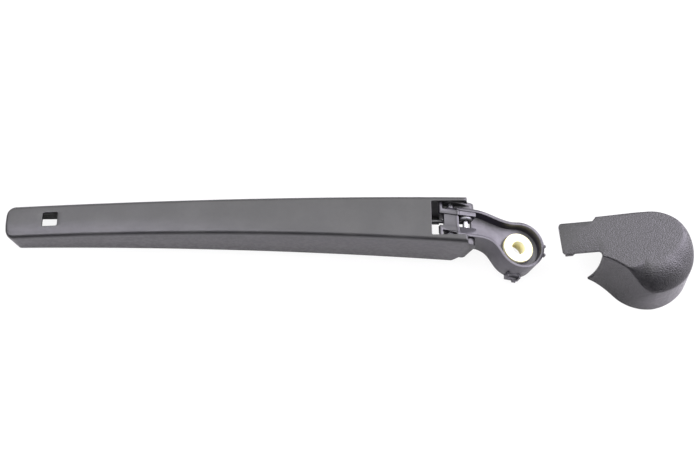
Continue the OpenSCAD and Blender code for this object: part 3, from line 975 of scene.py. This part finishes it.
    def _slot_guide(self) -> Solid:
        """Makes the guide walls under the slot that keep the blade's clip square.

        Returns:
            The guide.
        """
        x, y, skin = self._slot_place()
        half_l, half_w, room = self.slot_length / 2, self.slot_width / 2, self.slot_room
        top = self.bottom + self.height(-x + self.slot_length) - self.skin_overlap
        low = top - self.slot_depth
        outer = Solid.box(
            (x - half_l - self.rib, y - half_w - self.rib, low),
            (x + half_l + self.rib, y + half_w + self.rib, top),
        )
        step = Solid.box(
            (x - half_l, y + half_w - 0.5, low - 1.0),
            (x, y + half_w + 3.0, low + self.slot_depth / 2),
        )
        hole = Solid.box(
            (x - half_l - 4.0, y - half_w - room, low - 1.0),
            (x + half_l + room, y + half_w + room, skin - 1.7),
        )
        return outer.act(Cut.REMOVE, hole, step)

    def _ribs(self) -> list[Solid]:
        """Makes the cross ribs under the skin.

        Returns:
            The ribs, from the pivot to the tip.
        """
        first = self.lug_place + self.rib_margin
        last = self.reach - self.slot_from_tip - self.slot_length - self.rib_margin
        ribs = []
        for s in steps_between(first, last, self.rib_count):
            half = self.width(s) / 2 - 0.75 * self.wall
            top = self.bottom + self.height(s + self.rib) - 1.5
            y = self.middle(s)
            ribs.append(Solid.box((-s, y - half, top - self.rib_depth), (-s + self.rib, y + half, top)))
        return ribs

    def _ledges(self) -> list[Solid]:
        """Makes the narrow inner ledges along the lower edges of the side walls.

        Returns:
            The ledges, one stretch after the other.
        """
        low = self.bottom + 0.1
        ledges = []
        for first, last in zip(self.ledge_places, self.ledge_places[1:]):
            last += 0.02
            for side, depth in ((1.0, self.ledge_far), (-1.0, self.ledge_near)):
                plan = []
                for s, inner in ((first, depth), (last, depth), (last, -0.5), (first, -0.5)):
                    half = self.width(s) / 2 - self.wall
                    plan.append((-s, self.middle(s) + side * (half - inner)))
                if side > 0.0:
                    plan.reverse()
                ledges.append(Solid.plate(plan, low, low + self.ledge_height))
        return ledges

    def _lug(self) -> list[Solid]:
        """Makes the lug that takes the spring's end eye and the wall behind it.

        Returns:
            The lug and the wall.
        """
        x, z, w = -self.lug_place, self.spring_height, self.lug_half
        top = self.bottom + self.height(self.lug_place + 6.0) - self.skin_overlap
        half = self.width(self.lug_place) / 2 - 0.75 * self.wall
        y = self.middle(self.lug_place)
        near, far = self.spring_shift - self.lug_width / 2, self.spring_shift + self.lug_width / 2
        plate = wrapped([(x, z, self.lug_radius), (x - w, top - 0.2, 0.2), (x + w, top - 0.2, 0.2)])
        wall = Solid.box((x - self.lug_radius - self.rib, y - half, z), (x - 4.7, y + half, top))
        return [Solid.across(plate, near, far), wall]

    def build(self, bench: Bench) -> bpy.types.Object:
        """Builds the arm and sets it on its body.

        Args:
            bench: Where the piece gets its finish.

        Returns:
            The piece.
        """
        x, y, top = self._slot_place()
        half_l, half_w = self.slot_length / 2, self.slot_width / 2
        opening = rounded_outline((x - half_l, y - half_w), (x + half_l, y + half_w), self.slot_corner)
        cutout = rounded_outline((-self.cut_back, -self.cut_near), (30.0, self.cut_far), self.cut_corner)
        shell = self._hull(0.0, self.bottom, -self.past_pivot)
        shell.act(Cut.REMOVE, self._hull(self.wall, self.bottom - 2.0, -self.past_pivot - self.wall))
        shell.act(Cut.REMOVE, self._past_walls())
        shell.act(Cut.ADD, *self._ears(), self._slot_guide(), *self._ribs(), *self._ledges(), *self._lug())
        shell.act(
            Cut.REMOVE,
            Solid.plate(opening, top - 4.0, top + 3.0),
            Solid.plate(cutout, 0.0, 40.0),
            Solid.pin((0.0, 0.0), self.pin_hole, -self.ear_start - 2.0, self.pivot_width),
            Solid.pin((-self.lug_place, self.spring_height), self.lug_hole, 0.0, 6.0),
        )
        piece = shell.settle("arm_shell_moulding", IN_ARM, self.rounding)
        bench.dress(piece, ARM_PLASTIC, "arm_shell")
        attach(piece, Body.ARM.value)
        return piece


@dataclass
class MountHead:
    """The offset head: an open channel with the nose, the bridge and the round boss.

    The cuts are boxes in the head's own frame, each a low and a high corner.
    """

    rounding: float = 0.3
    cuts: tuple[tuple[Point, Point], ...] = (
        ((-54.0, 3.2, -6.0), (-48.5, 19.4, 0.7)),
        ((-51.7, 3.2, -6.0), (-42.52, 4.6, 5.0)),
        ((-43.0, 4.65, 4.08), (-40.45, 19.35, 6.0)),
        ((-43.0, 7.95, 3.04), (-40.45, 16.05, 5.0)),
        ((-43.6, 13.2, -14.0), (-39.65, 17.2, -3.25)),
    )

    def build(self, bench: Bench) -> bpy.types.Object:
        """Cuts the nose of the head's solid, rounds its edges and sets it on its body.

        Args:
            bench: Where the piece gets its finish.

        Returns:
            The piece.
        """
        head = Solid.from_node("mount_head")
        for low, high in self.cuts:
            cut = Solid.box(low, high)
            cut.mesh.transform(Matrix.Rotation(HEAD_TILT, 4, "Y"))
            head.act(Cut.REMOVE, cut)
        piece = head.settle("mount_head_moulding", TO_METRES, self.rounding)
        bench.dress(piece, HEAD_PLASTIC, "mount_head")
        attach(piece, Body.HEAD.value)
        return piece


@dataclass
class SpindleInsert:
    """The bright insert: nut seat, plain bore and the toothed cone below it."""

    seat_radius: float = 9.7
    body_radius: float = 8.0
    depth: float = 12.0
    seat_thickness: float = 2.8
    bore_radius: float = 4.2
    bore_length: float = 5.0
    cone_radius: float = 5.4
    tooth: float = 0.4
    teeth: int = 36
    chamfer: float = 0.45

    def build(self, bench: Bench) -> bpy.types.Object:
        """Turns the insert, cuts its teeth and sets it on its body.

        Args:
            bench: Where the piece gets its finish.

        Returns:
            The piece.
        """
        c = self.chamfer
        profile = [
            (self.cone_radius, -self.depth, self.tooth),
            (self.body_radius - 0.6, -self.depth, 0.0),
            (self.body_radius, -self.depth + 0.6, 0.0),
            (self.body_radius, -self.seat_thickness, 0.0),
            (self.seat_radius, -self.seat_thickness, 0.0),
            (self.seat_radius, -c, 0.0),
            (self.seat_radius - 0.3 * c, -0.3 * c, 0.0),
            (self.seat_radius - c, 0.0, 0.0),
            (self.bore_radius + 1.6, 0.0, 0.0),
            (self.bore_radius + 1.5, -0.1, 0.0),
            (self.bore_radius + c, -0.1, 0.0),
            (self.bore_radius + 0.1, -0.1 - 0.8 * c, 0.0),
            (self.bore_radius, -c - 0.3, 0.0),
            (self.bore_radius, -self.bore_length, 0.0),
        ]
        piece = Solid.turned(profile, 4 * self.teeth).settle("spindle_insert_turned", IN_HEAD)
        bench.dress(piece, PLATED_ZINC, "spindle_insert")
        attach(piece, Body.HEAD.value)
        return piece


@dataclass
class HingePins:
    """The pivot pin in the arm's ears and the pin that takes the spring's hook."""

    pivot_radius: float = 2.0
    pivot_near: float = -11.8
    pivot_far: float = 15.2
    link_radius: float = 1.8
    link_near: float = 1.9
    link_far: float = 20.7
    link_place: float = -35.3
    link_height: float = 0.0
    chamfer: float = 0.35

    def build(self, bench: Bench) -> list[bpy.types.Object]:
        """Builds both pins and sets each on its body.

        Args:
            bench: Where the pieces get their finish.

        Returns:
            The pieces.
        """
        pivot = Solid.pin((0.0, 0.0), self.pivot_radius, self.pivot_near, self.pivot_far, self.chamfer)
        pivot_piece = pivot.settle("pivot_pin_turned", IN_ARM)
        bench.dress(pivot_piece, PIN_STEEL, "pivot_pin")
        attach(pivot_piece, Body.ARM.value)
        place = (self.link_place, self.link_height)
        link = Solid.pin(place, self.link_radius, self.link_near, self.link_far, self.chamfer)
        link_piece = link.settle("link_pin_turned", IN_HEAD)
        bench.dress(link_piece, PIN_STEEL, "link_pin")
        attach(link_piece, Body.HEAD.value)
        return [pivot_piece, link_piece]


@dataclass
class TensionSpring:
    """One wire: hook round the link pin, straight leg, coil and eye through the arm's lug."""

    wire_radius: float = 1.3
    wire_sides: int = 14
    coil_radius: float = 5.8
    coil_length: float = 38.0
    turns: int = 14
    coil_from: float = 22.0
    hook_side: float = 3.45
    leg_side: float = 4.3
    eye_side: float = 2.9
    link: Spot = (9.319, -2.693)
    loop_radius: float = 3.15
    lug_place: float = 74.0
    eye_radius: float = 3.5
    bend_from: float = -12.0
    bend_to: float = 5.0

    def _middle(self, x: float) -> float:
        """Finds how far to the side the spring's middle line lies.

        Args:
            x: Lengthwise place.

        Returns:
            The sideways place.
        """
        leg = self.hook_side + (self.leg_side - self.hook_side) * smooth((1.0 - x) / 8.0)
        back = held((-x - self.coil_from) / self.coil_length)
        return leg + (self.eye_side - leg) * back

    def path(self) -> list[Vector]:
        """Lays the wire's middle line.

        Returns:
            Points from the link pin to the lug.
        """
        x, z = self.link
        hook, eye, low = self.loop_radius, self.eye_radius, self.link[1] - self.loop_radius
        flat: list[Point] = []
        for a in [math.radians(180.0 - 10.0 * k) for k in range(28)]:
            flat.append((x + hook * math.cos(a), 0.0, z + hook * math.sin(a)))
        flat += [(place, 0.0, low) for place in steps_between(x - 1.0, 4.0 - self.coil_from, 40)]
        count = 36 * self.turns
        mean = self.coil_radius - self.wire_radius
        for i in range(count + 1):
            a = math.radians(10.0 * i - 90.0)
            r = mean * smooth(min(i, count - i) / 14.0)
            place = -self.coil_from - self.coil_length * i / count
            flat.append((place, r * math.cos(a), low + r * math.sin(a)))
        for a in [math.radians(-60.0 - 10.0 * k) for k in range(25)]:
            flat.append((-self.lug_place + eye + eye * math.cos(a), eye * math.sin(a), low))
        return [Vector((x, self._middle(x) + y, z)) for x, y, z in flat]

    def build(self, bench: Bench) -> bpy.types.Object:
        """Draws the wire and gives it its finish.

        Args:
            bench: Where the piece gets its finish.

        Returns:
            The piece.
        """
        wire = Solid.wire(self.path(), self.wire_radius, self.wire_sides)
        piece = wire.settle("tension_spring_wire", IN_ARM)
        bench.dress(piece, SPRING_STEEL, "tension_spring")
        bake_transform(piece)
        return piece


@dataclass
class CoverCap:
    """The loose cap: leaning skirt, wide domed edge, flat neck and tongue.

    Angles round the cap are in degrees, 0 to the right and -90 to the near side.
    """

    # Place on the table
    place: Point = (81.3, -7.5, 0.055)
    turn: float = 5.5
    # Skirt and dome
    rounding: float = 0.25
    radius: float = 27.5
    margin: float = 0.05
    side: float = -0.9
    hub: Point = (-5.0, 3.0, 0.0)
    height: float = 31.0
    fall: float = 1.4
    fall_start: float = -31.0
    edge: float = 1.6
    dome_width: float = 18.0
    dome_drop: float = 8.0
    dome_edge: float = 0.6
    dome_start: float = -155.0
    dome_rise: float = 50.0
    dome_end: float = 50.0
    dome_fade: float = 80.0
    tuck: float = 3.0
    leave: float = -97.0
    leave_reach: float = 7.0
    foot_tuck: float = 1.0
    foot_leave: float = -137.0
    bulge: float = 0.8
    lean: float = 0.9
    wall: float = 2.0
    # Neck, the curved cut under it and the tongue
    neck: float = 11.3
    back: float = 32.0
    near: float = 11.1
    far: float = 14.4
    notch: float = 60.0
    notch_height: float = 23.0
    fillet: float = 1.8
    tongue_length: float = 24.0
    tongue_near: float = 2.3
    tongue_far: float = 22.7
    tongue_thickness: float = 2.4
    tongue_sink: float = 0.8

    @property
    def near_side(self) -> float:
        """Sideways place of the neck's near side."""
        return self.neck - self.near

    @property
    def far_side(self) -> float:
        """Sideways place of the neck's far side."""
        return self.neck + self.far

    def _round_part(self, degrees: float, radius: float, tuck: float) -> Spot:
        """Finds a point of the edge's round part.

        Args:
            degrees: Angle round the cap.
            radius: Radius of the round part.
            tuck: How much smaller the radius is on the near side.

        Returns:
            The point in plan.
        """
        angle = math.radians(degrees)
        r = radius - tuck * min(0.0, math.sin(angle)) ** 2
        if 0.0 < degrees < 90.0:
            r += self.bulge * math.sin(2.0 * angle)
        elif -90.0 < degrees <= 0.0:
            r -= self.bulge * max(0.0, -math.sin(2.0 * angle))
        return r * math.cos(angle), self.side + r * math.sin(angle)

    def _edge(self, radius: float, tuck: float, leave: float, guide: Spot, near_end: float) -> list[Vector]:
        """Draws an edge of the cover in plan, from the far end of the neck to the near end.

        Args:
            radius: Radius of the round part.
            tuck: How much smaller the radius is on the near side.
            leave: Angle in degrees at which the near side leaves the round part.
            guide: Guide point of the near side's curve.
            near_end: Sideways place where the near side ends.

        Returns:
            The edge's points.
        """
        start, end, top = -self.back - self.tongue_length - 3.0, -self.back - 11.0, self.far_side
        far = [(end, top), (-20.0, top), (-12.0, self.side + radius + 0.3), (0.0, self.side + radius)]
        left = self._round_part(leave, radius, tuck)
        a = math.radians(leave)
        ahead = (left[0] + self.leave_reach * math.sin(a), left[1] - self.leave_reach * math.cos(a))
        near = [left, ahead, guide, (end, near_end)]
        angles = steps_between(87.0, -90.0, 60) + steps_between(-90.0, leave, 19)[1:]
        points = [(start, top)] + [bezier(far, t) for t in steps_between(0.0, 1.0, 25)]
        points += [self._round_part(angle, radius, tuck) for angle in angles]
        points += [bezier(near, t) for t in steps_between(0.0, 1.0, 37)[1:]] + [(start, near_end)]
        return [Vector((x, y, 0.0)) for x, y in points]

    def _top_edge(self) -> list[Vector]:
        """Draws the outer edge of the cover's top."""
        guide = (-20.0, self.near_side)
        return self._edge(self.radius - self.margin, self.tuck, self.leave, guide, self.near_side)

    def _foot_edge(self) -> list[Vector]:
        """Draws the outer edge of the cover's foot, which leans out past its top."""
        guide, radius = (-30.0, self.near_side - 5.7), self.radius + self.lean - self.margin
        return self._edge(radius, self.foot_tuck, self.foot_leave, guide, self.near_side - 1.0)

    def _moved_in(self, p: Vector, by: float, share: float = 1.0) -> Vector:
        """Moves a point towards the cap's hub by a distance, then scales what is left.

        Args:
            p: The point.
            by: How far it moves in.
            share: Share of the way from the hub that is kept.

        Returns:
            The moved point.
        """
        hub = Vector(self.hub)
        away = p - hub
        return hub + away.normalized() * (away.length - by) * share

    def _ring(self, angle: float, inset: float, share: float = 1.0) -> list[Vector]:
        """Draws a ring of the cover's top.

        Args:
            angle: Place on the rounded edge in degrees, 0 at the skirt and 90 where it ends.
            inset: Thickness taken off.
            share: Share of the way from the middle.

        Returns:
            The ring's points.
        """
        a = math.radians(angle)
        ring = []
        for p in self._top_edge():
            around = math.degrees(math.atan2(p.y - self.side, p.x))
            w = smooth((around - self.dome_start) / self.dome_rise)
            w *= smooth((self.dome_end - around) / self.dome_fade)
            wide = self.edge + w * (self.dome_width - self.edge)
            drop = (self.edge + self.dome_edge * w) * (1.0 - math.sin(a))
            drop += self.dome_drop * w * math.cos(a) ** 2
            q = self._moved_in(p, inset + wide * (1.0 - math.cos(a)), share)
            along = held((q.x - self.fall_start) / (self.radius - self.fall_start))
            q.z = self.height - self.fall * along ** 2 - inset - drop
            ring.append(q)
        return ring

    def _body(self, inset: float, base: float) -> Solid:
        """Lofts the cover's outside or inside.

        Args:
            inset: Thickness taken off.
            base: Height of its foot.

        Returns:
            The solid.
        """
        foot = [self._moved_in(p, inset) for p in self._foot_edge()]
        rings = [[Vector((p.x, p.y, base)) for p in foot]]
        rings += [self._ring(angle, inset) for angle in steps_between(0.0, 90.0, 21)]
        rings += [self._ring(90.0, inset, share) for share in (0.9, 0.8, 0.68, 0.55, 0.42, 0.3, 0.18, 0.07)]
        return Solid.loft(rings)

    def _tongue(self, low: float, high: float) -> list[Solid]:
        """Raises the tongue's plan with its near fillet and far slope.

        Args:
            low: Height of the underside.
            high: Height of the top.

        Returns:
            The solids that make it up together.
        """
        back, near, far, r = -self.back, self.tongue_near, self.tongue_far, self.fillet
        inside = back + 0.8
        plan = rounded_outline((back - self.tongue_length, near), (back + 2.0, far), 2.0)
        fillet = [(back - r + r * math.sin(t), near - r + r * math.cos(t))
                  for t in (math.radians(10.0 * k) for k in range(10))]
        fillet += [(inside, near - r), (inside, near + 0.5), (back - r, near + 0.5)]
        slope = [(back - 2.4, far - 0.5), (inside, far - 0.5), (inside, far + 2.4), (back, far + 2.4),
                 (back - 2.4, far)]
        return [
            Solid.plate(plan, low, high),
            Solid.plate(fillet, low - 0.01, high + 0.01),
            Solid.plate(slope, low - 0.02, high + 0.02),
        ]

    def _cut_ends(self, low: float) -> Solid:
        """Fills what lies past the curved back of the skirt, round the tongue.

        Args:
            low: Height of the tongue's underside.

        Returns:
            The solid to be cut away.
        """
        end = -self.back - self.tongue_length
        axis = (-self.back - self.notch, self.notch_height)
        ends = Solid.pin(axis, self.notch, -self.radius - 20.0, 2.0 * self.radius)
        above = Solid.box(
            (end - 9.0, -self.radius - 19.0, self.notch_height),
            (-self.back, 2.0 * self.radius - 1.0, self.height + 18.0),
        )
        return ends.act(Cut.ADD, above).act(Cut.REMOVE, *self._tongue(low, self.height + 19.0))

    def build(self, bench: Bench) -> bpy.types.Object:
        """Builds the cap and sets it on its body.

        Args:
            bench: Where the piece gets its finish.

        Returns:
            The piece.
        """
        end, low = -self.back - self.tongue_length, self.height - self.tongue_thickness
        hollow = Solid.box(
            (end - 6.0, self.near_side + self.wall, -1.0),
            (-self.back + 5.0, self.far_side - self.wall, low - 2.0),
        )
        stop = Solid.box(
            (end + 2.0, self.tongue_near + 0.02, low - 3.0), (end + 7.0, self.tongue_near + 1.6, low + 0.5)
        )
        shell = self._body(0.0, 0.0)
        shell.act(Cut.REMOVE, self._body(self.wall, -1.0), hollow)
        shell.act(Cut.ADD, *self._tongue(low, self.height - self.tongue_sink))
        shell.act(Cut.REMOVE, self._cut_ends(low)).act(Cut.ADD, stop)
        x, y, z = self.place
        lift = Matrix.Translation((x * MM, y * MM, TABLE_Z + z * MM))
        place = lift @ Matrix.Rotation(math.radians(self.turn), 4, "Z") @ TO_METRES
        piece = shell.settle("cover_cap_moulding", place, self.rounding)
        bench.dress(piece, CAP_PLASTIC, "cap")
        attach(piece, Body.HEAD.value)
        return piece


@dataclass(frozen=True)
class SoftBox:
    """A rectangular lamp, with its places and sizes in metres and its power in watts."""

    name: str
    place: Point
    aim: Point
    size: Spot
    power: float
    colour: Colour
    glossy: bool = True

    def hang(self) -> None:
        """Hangs the lamp where it faces its aim."""
        data = bpy.data.lights.new(self.name, "AREA")
        data.shape = "RECTANGLE"
        data.size, data.size_y = self.size
        data.energy = self.power
        data.color = self.colour
        lamp = bpy.data.objects.new(self.name, data)
        lamp.location = self.place
        lamp.rotation_euler = (Vector(self.aim) - Vector(self.place)).to_track_quat("-Z", "Y").to_euler()
        lamp.visible_glossy = self.glossy
        bpy.context.collection.objects.link(lamp)


SOFT_BOXES = (
    SoftBox("overhead", (-0.33, 0.47, 0.95), (-0.33, 0.47, 0.0), (1.8, 1.56), 27.0, (1.0, 1.0, 0.985)),
    SoftBox("right_fill", (0.98, 0.4, 0.7), (0.05, 0.0, 0.0), (0.9, 1.3), 38.0, (0.9, 0.84, 1.0)),
    SoftBox("front_fill", (-0.1, -0.55, 0.9), (-0.1, -0.06, 0.0), (1.4, 0.5), 6.0, (0.98, 0.96, 1.0), False),
    SoftBox("left_fill", (-0.72, 0.02, 0.94), (-0.72, 0.02, 0.0), (0.6, 0.4), 7.0, (0.86, 0.8, 1.0)),
)


@dataclass
class Studio:
    """White table, lamps, world and camera.

    A glow is a span of one axis of the direction, then the strengths at its two ends.
    """

    white: tuple[float, float, float, float] = (1.0, 1.0, 1.0, 1.0)
    table_half: float = 12.0
    table_colour: tuple[float, float, float, float] = (0.72, 0.71, 0.72, 1.0)
    table_white: float = 0.9
    table_glossy: float = 0.1
    room_glossy: float = 0.03
    ceiling: tuple[Spot, Spot] = ((0.45, 1.0), (0.02, 0.4))
    behind: tuple[Spot, Spot] = ((0.2, 0.8), (0.0, 0.9))
    beside: tuple[Spot, Spot] = ((0.4, 0.95), (0.0, 1.6))
    camera_place: Point = (-0.1067, -0.3220, 0.7287)
    camera_tilt: float = 24.5
    sensor_width: float = 36.0
    lens: float = 64.8

    def build(self) -> None:
        """Sets the view transform and builds the table, the lamps, the world and the camera."""
        bpy.context.scene.view_settings.view_transform = "Standard"
        self._table()
        for lamp in SOFT_BOXES:
            lamp.hang()
        self._world()
        self._camera()
        log.info("studio built")

    @staticmethod
    def _seen_rays(graph: Graph, glossy_share: float) -> bpy.types.NodeSocket:
        """Masks the rays that see the white background.

        Args:
            graph: Graph of the material or the world.
            glossy_share: Share of the white that glossy rays see.

        Returns:
            The mask.
        """
        path = graph.add("ShaderNodeLightPath")
        glossy = graph.math("MULTIPLY", path.outputs["Is Glossy Ray"], glossy_share)
        clear = graph.math("ADD", path.outputs["Is Camera Ray"], path.outputs["Is Transmission Ray"])
        return graph.math("ADD", clear, glossy, clamp=True)

    def _table(self) -> None:
        """Lays the white table that keeps a faint shadow."""
        half = self.table_half
        mesh = bpy.data.meshes.new("table")
        corners = [(-half, -half), (half, -half), (half, half), (-half, half)]
        mesh.from_pydata([(x, y, TABLE_Z) for x, y in corners], [], [(0, 1, 2, 3)])
        table = bpy.data.objects.new("table", mesh)
        bpy.context.collection.objects.link(table)
        material = bpy.data.materials.new("white_table")
        graph = Graph.cleared(material)
        matt = graph.add("ShaderNodeBsdfDiffuse", {"Color": self.table_colour}).outputs[0]
        white = graph.add("ShaderNodeEmission", {"Color": self.white, "Strength": 1.0}).outputs[0]
        share = graph.math("MULTIPLY", self._seen_rays(graph, self.table_glossy), self.table_white)
        mixed = graph.add("ShaderNodeMixShader", {0: share, 1: matt, 2: white})
        graph.add("ShaderNodeOutputMaterial", {"Surface": mixed.outputs[0]})
        mesh.materials.append(material)

    def _world(self) -> None:
        """Sets a room that is dim in front, paler elsewhere, and white to the camera."""
        world = bpy.data.worlds.new("studio_room")
        bpy.context.scene.world = world
        graph = Graph.cleared(world)
        direction = graph.add("ShaderNodeTexCoord").outputs["Generated"]
        parts = graph.add("ShaderNodeSeparateXYZ", {0: direction}).outputs
        ceiling = graph.ramp(parts["Z"], *self.ceiling)
        behind = graph.ramp(parts["Y"], *self.behind)
        beside = graph.ramp(parts["X"], *self.beside)
        glow = graph.math("ADD", ceiling, graph.math("MAXIMUM", behind, beside))
        room = graph.add("ShaderNodeBackground", {"Color": self.white, "Strength": glow}).outputs[0]
        white = graph.add("ShaderNodeBackground", {"Color": self.white, "Strength": 1.0}).outputs[0]
        share = self._seen_rays(graph, self.room_glossy)
        mixed = graph.add("ShaderNodeMixShader", {0: share, 1: room, 2: white})
        graph.add("ShaderNodeOutputWorld", {"Surface": mixed.outputs[0]})

    def _camera(self) -> None:
        """Sets the camera above and in front of the arm, as the picture was taken."""
        data = bpy.data.cameras.new("camera")
        data.sensor_fit = "HORIZONTAL"
        data.sensor_width = self.sensor_width
        data.lens = self.lens
        camera = bpy.data.objects.new("camera", data)
        camera.location = self.camera_place
        camera.rotation_euler = (math.radians(self.camera_tilt), 0.0, 0.0)
        bpy.context.collection.objects.link(camera)
        bpy.context.scene.camera = camera


def main() -> None:
    """Builds the studio and every piece in order."""
    logging.basicConfig(level=logging.INFO, format="%(name)s: %(message)s")
    Studio().build()
    bench = Bench(Effects())
    for piece in (ArmShell(), MountHead(), SpindleInsert(), HingePins(), TensionSpring(), CoverCap()):
        piece.build(bench)


if __name__ == "__main__":
    main()
